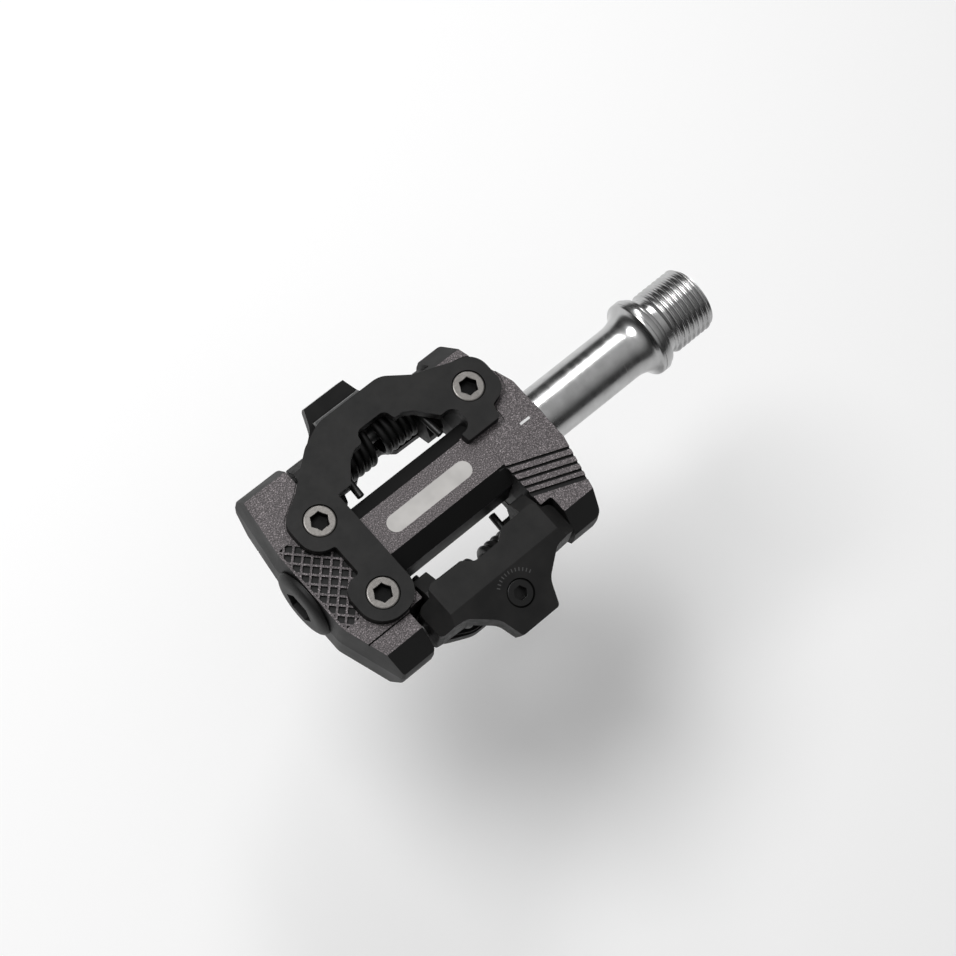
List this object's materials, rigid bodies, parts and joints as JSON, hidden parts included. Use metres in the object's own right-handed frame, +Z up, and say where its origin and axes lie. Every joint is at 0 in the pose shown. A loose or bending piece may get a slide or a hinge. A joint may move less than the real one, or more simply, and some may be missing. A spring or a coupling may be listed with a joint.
{
  "type": "clipless bicycle pedal",
  "caption": "Left double-sided clipless bicycle pedal: sprung rear jaws and fixed toe arches on an alloy body that spins on a flanged, threaded spindle.",
  "frame": {"origin": "middle of the spindle flange's crank face, on the spindle axis", "axes": "+X along the spindle towards the crank, +Y towards the toe of the upper face, +Z up"},
  "size_m": [0.1033, 0.0646, 0.019],
  "materials": {
    "chrome_steel": "polished",
    "zinc_steel": "satin",
    "bearing_steel": "polished",
    "cage_polymer": "matt",
    "seal_rubber": "matt",
    "bush_bronze": "satin",
    "cap_polymer": "satin",
    "body_alloy": "speckled bronze-grey paint",
    "blackened_steel": "satin black",
    "screw_steel": "pale zinc",
    "tension_bolt_steel": "satin",
    "spring_steel": "oiled"
  },
  "bodies": {
    "spindle_assembly": {"spindle": "chrome_steel", "spindle_washer": "zinc_steel", "lock_nut": "zinc_steel", "bearing_inner_race": "bearing_steel"},
    "bearing_set": {"bearing_cage": "cage_polymer", "bearing_balls": "bearing_steel"},
    "pedal": {"pedal_body": "body_alloy", "bearing_outer_race": "bearing_steel", "bearing_shields": "seal_rubber", "plain_bush": "bush_bronze", "spindle_seal": "seal_rubber", "dust_cap": "cap_polymer", "dust_cap_o_ring": "seal_rubber", "upper_toe_plate": "blackened_steel", "upper_plate_screws": "screw_steel", "upper_pivot_pin": "zinc_steel", "upper_spring_inboard": "spring_steel", "upper_spring_outboard": "spring_steel", "lower_toe_plate": "blackened_steel", "lower_plate_screws": "screw_steel", "lower_pivot_pin": "zinc_steel", "lower_spring_inboard": "spring_steel", "lower_spring_outboard": "spring_steel"},
    "upper_jaw": {"upper_rear_jaw": "blackened_steel"},
    "upper_spring_plate": {"upper_tension_plate": "zinc_steel"},
    "upper_tension_screw": {"upper_tension_bolt": "tension_bolt_steel"},
    "lower_jaw": {"lower_rear_jaw": "blackened_steel"},
    "lower_spring_plate": {"lower_tension_plate": "zinc_steel"},
    "lower_tension_screw": {"lower_tension_bolt": "tension_bolt_steel"}
  },
  "joints": [
    {"name": "body_spin", "type": "hinge", "parent": "spindle_assembly", "child": "pedal", "pos_m": [-0.0587, 0, 0], "axis": [1, 0, 0], "continuous": true},
    {"name": "bearing_roll", "type": "hinge", "parent": "spindle_assembly", "child": "bearing_set", "pos_m": [-0.0819, 0, 0], "axis": [1, 0, 0], "continuous": true},
    {"name": "upper_jaw_release", "type": "hinge", "parent": "pedal", "child": "upper_jaw", "pos_m": [-0.0587, -0.0183, 0], "axis": [1, 0, 0], "range_deg": [0, 15], "stiffness_Nm_per_rad": 0.02, "springref_deg": -28.65, "deforming": ["upper_spring_inboard", "upper_spring_outboard"]},
    {"name": "upper_spring_plate_travel", "type": "slide", "parent": "upper_jaw", "child": "upper_spring_plate", "axis": [0, 0.3007, -0.9537], "range_m": [-0.0007, 0]},
    {"name": "upper_tension_screw_turn", "type": "hinge", "parent": "upper_spring_plate", "child": "upper_tension_screw", "pos_m": [-0.0587, -0.026, 0.00792], "axis": [0, 0.3007, -0.9537], "range_deg": [-360, 0]},
    {"name": "lower_jaw_release", "type": "hinge", "parent": "pedal", "child": "lower_jaw", "pos_m": [-0.0587, 0.0183, 0], "axis": [1, 0, 0], "range_deg": [0, 15], "stiffness_Nm_per_rad": 0.02, "springref_deg": -28.65, "deforming": ["lower_spring_inboard", "lower_spring_outboard"]},
    {"name": "lower_spring_plate_travel", "type": "slide", "parent": "lower_jaw", "child": "lower_spring_plate", "axis": [0, -0.3007, 0.9537], "range_m": [-0.0007, 0]},
    {"name": "lower_tension_screw_turn", "type": "hinge", "parent": "lower_spring_plate", "child": "lower_tension_screw", "pos_m": [-0.0587, 0.026, -0.00792], "axis": [0, -0.3007, 0.9537], "range_deg": [-360, 0]}
  ],
  "couplings": [
    {"joint": "bearing_roll", "follows": "body_spin", "ratio": 0.6056},
    {"joint": "upper_tension_screw_turn", "follows": "upper_spring_plate_travel", "rad_per_m": 8976},
    {"joint": "lower_tension_screw_turn", "follows": "lower_spring_plate_travel", "rad_per_m": 8976}
  ]
}
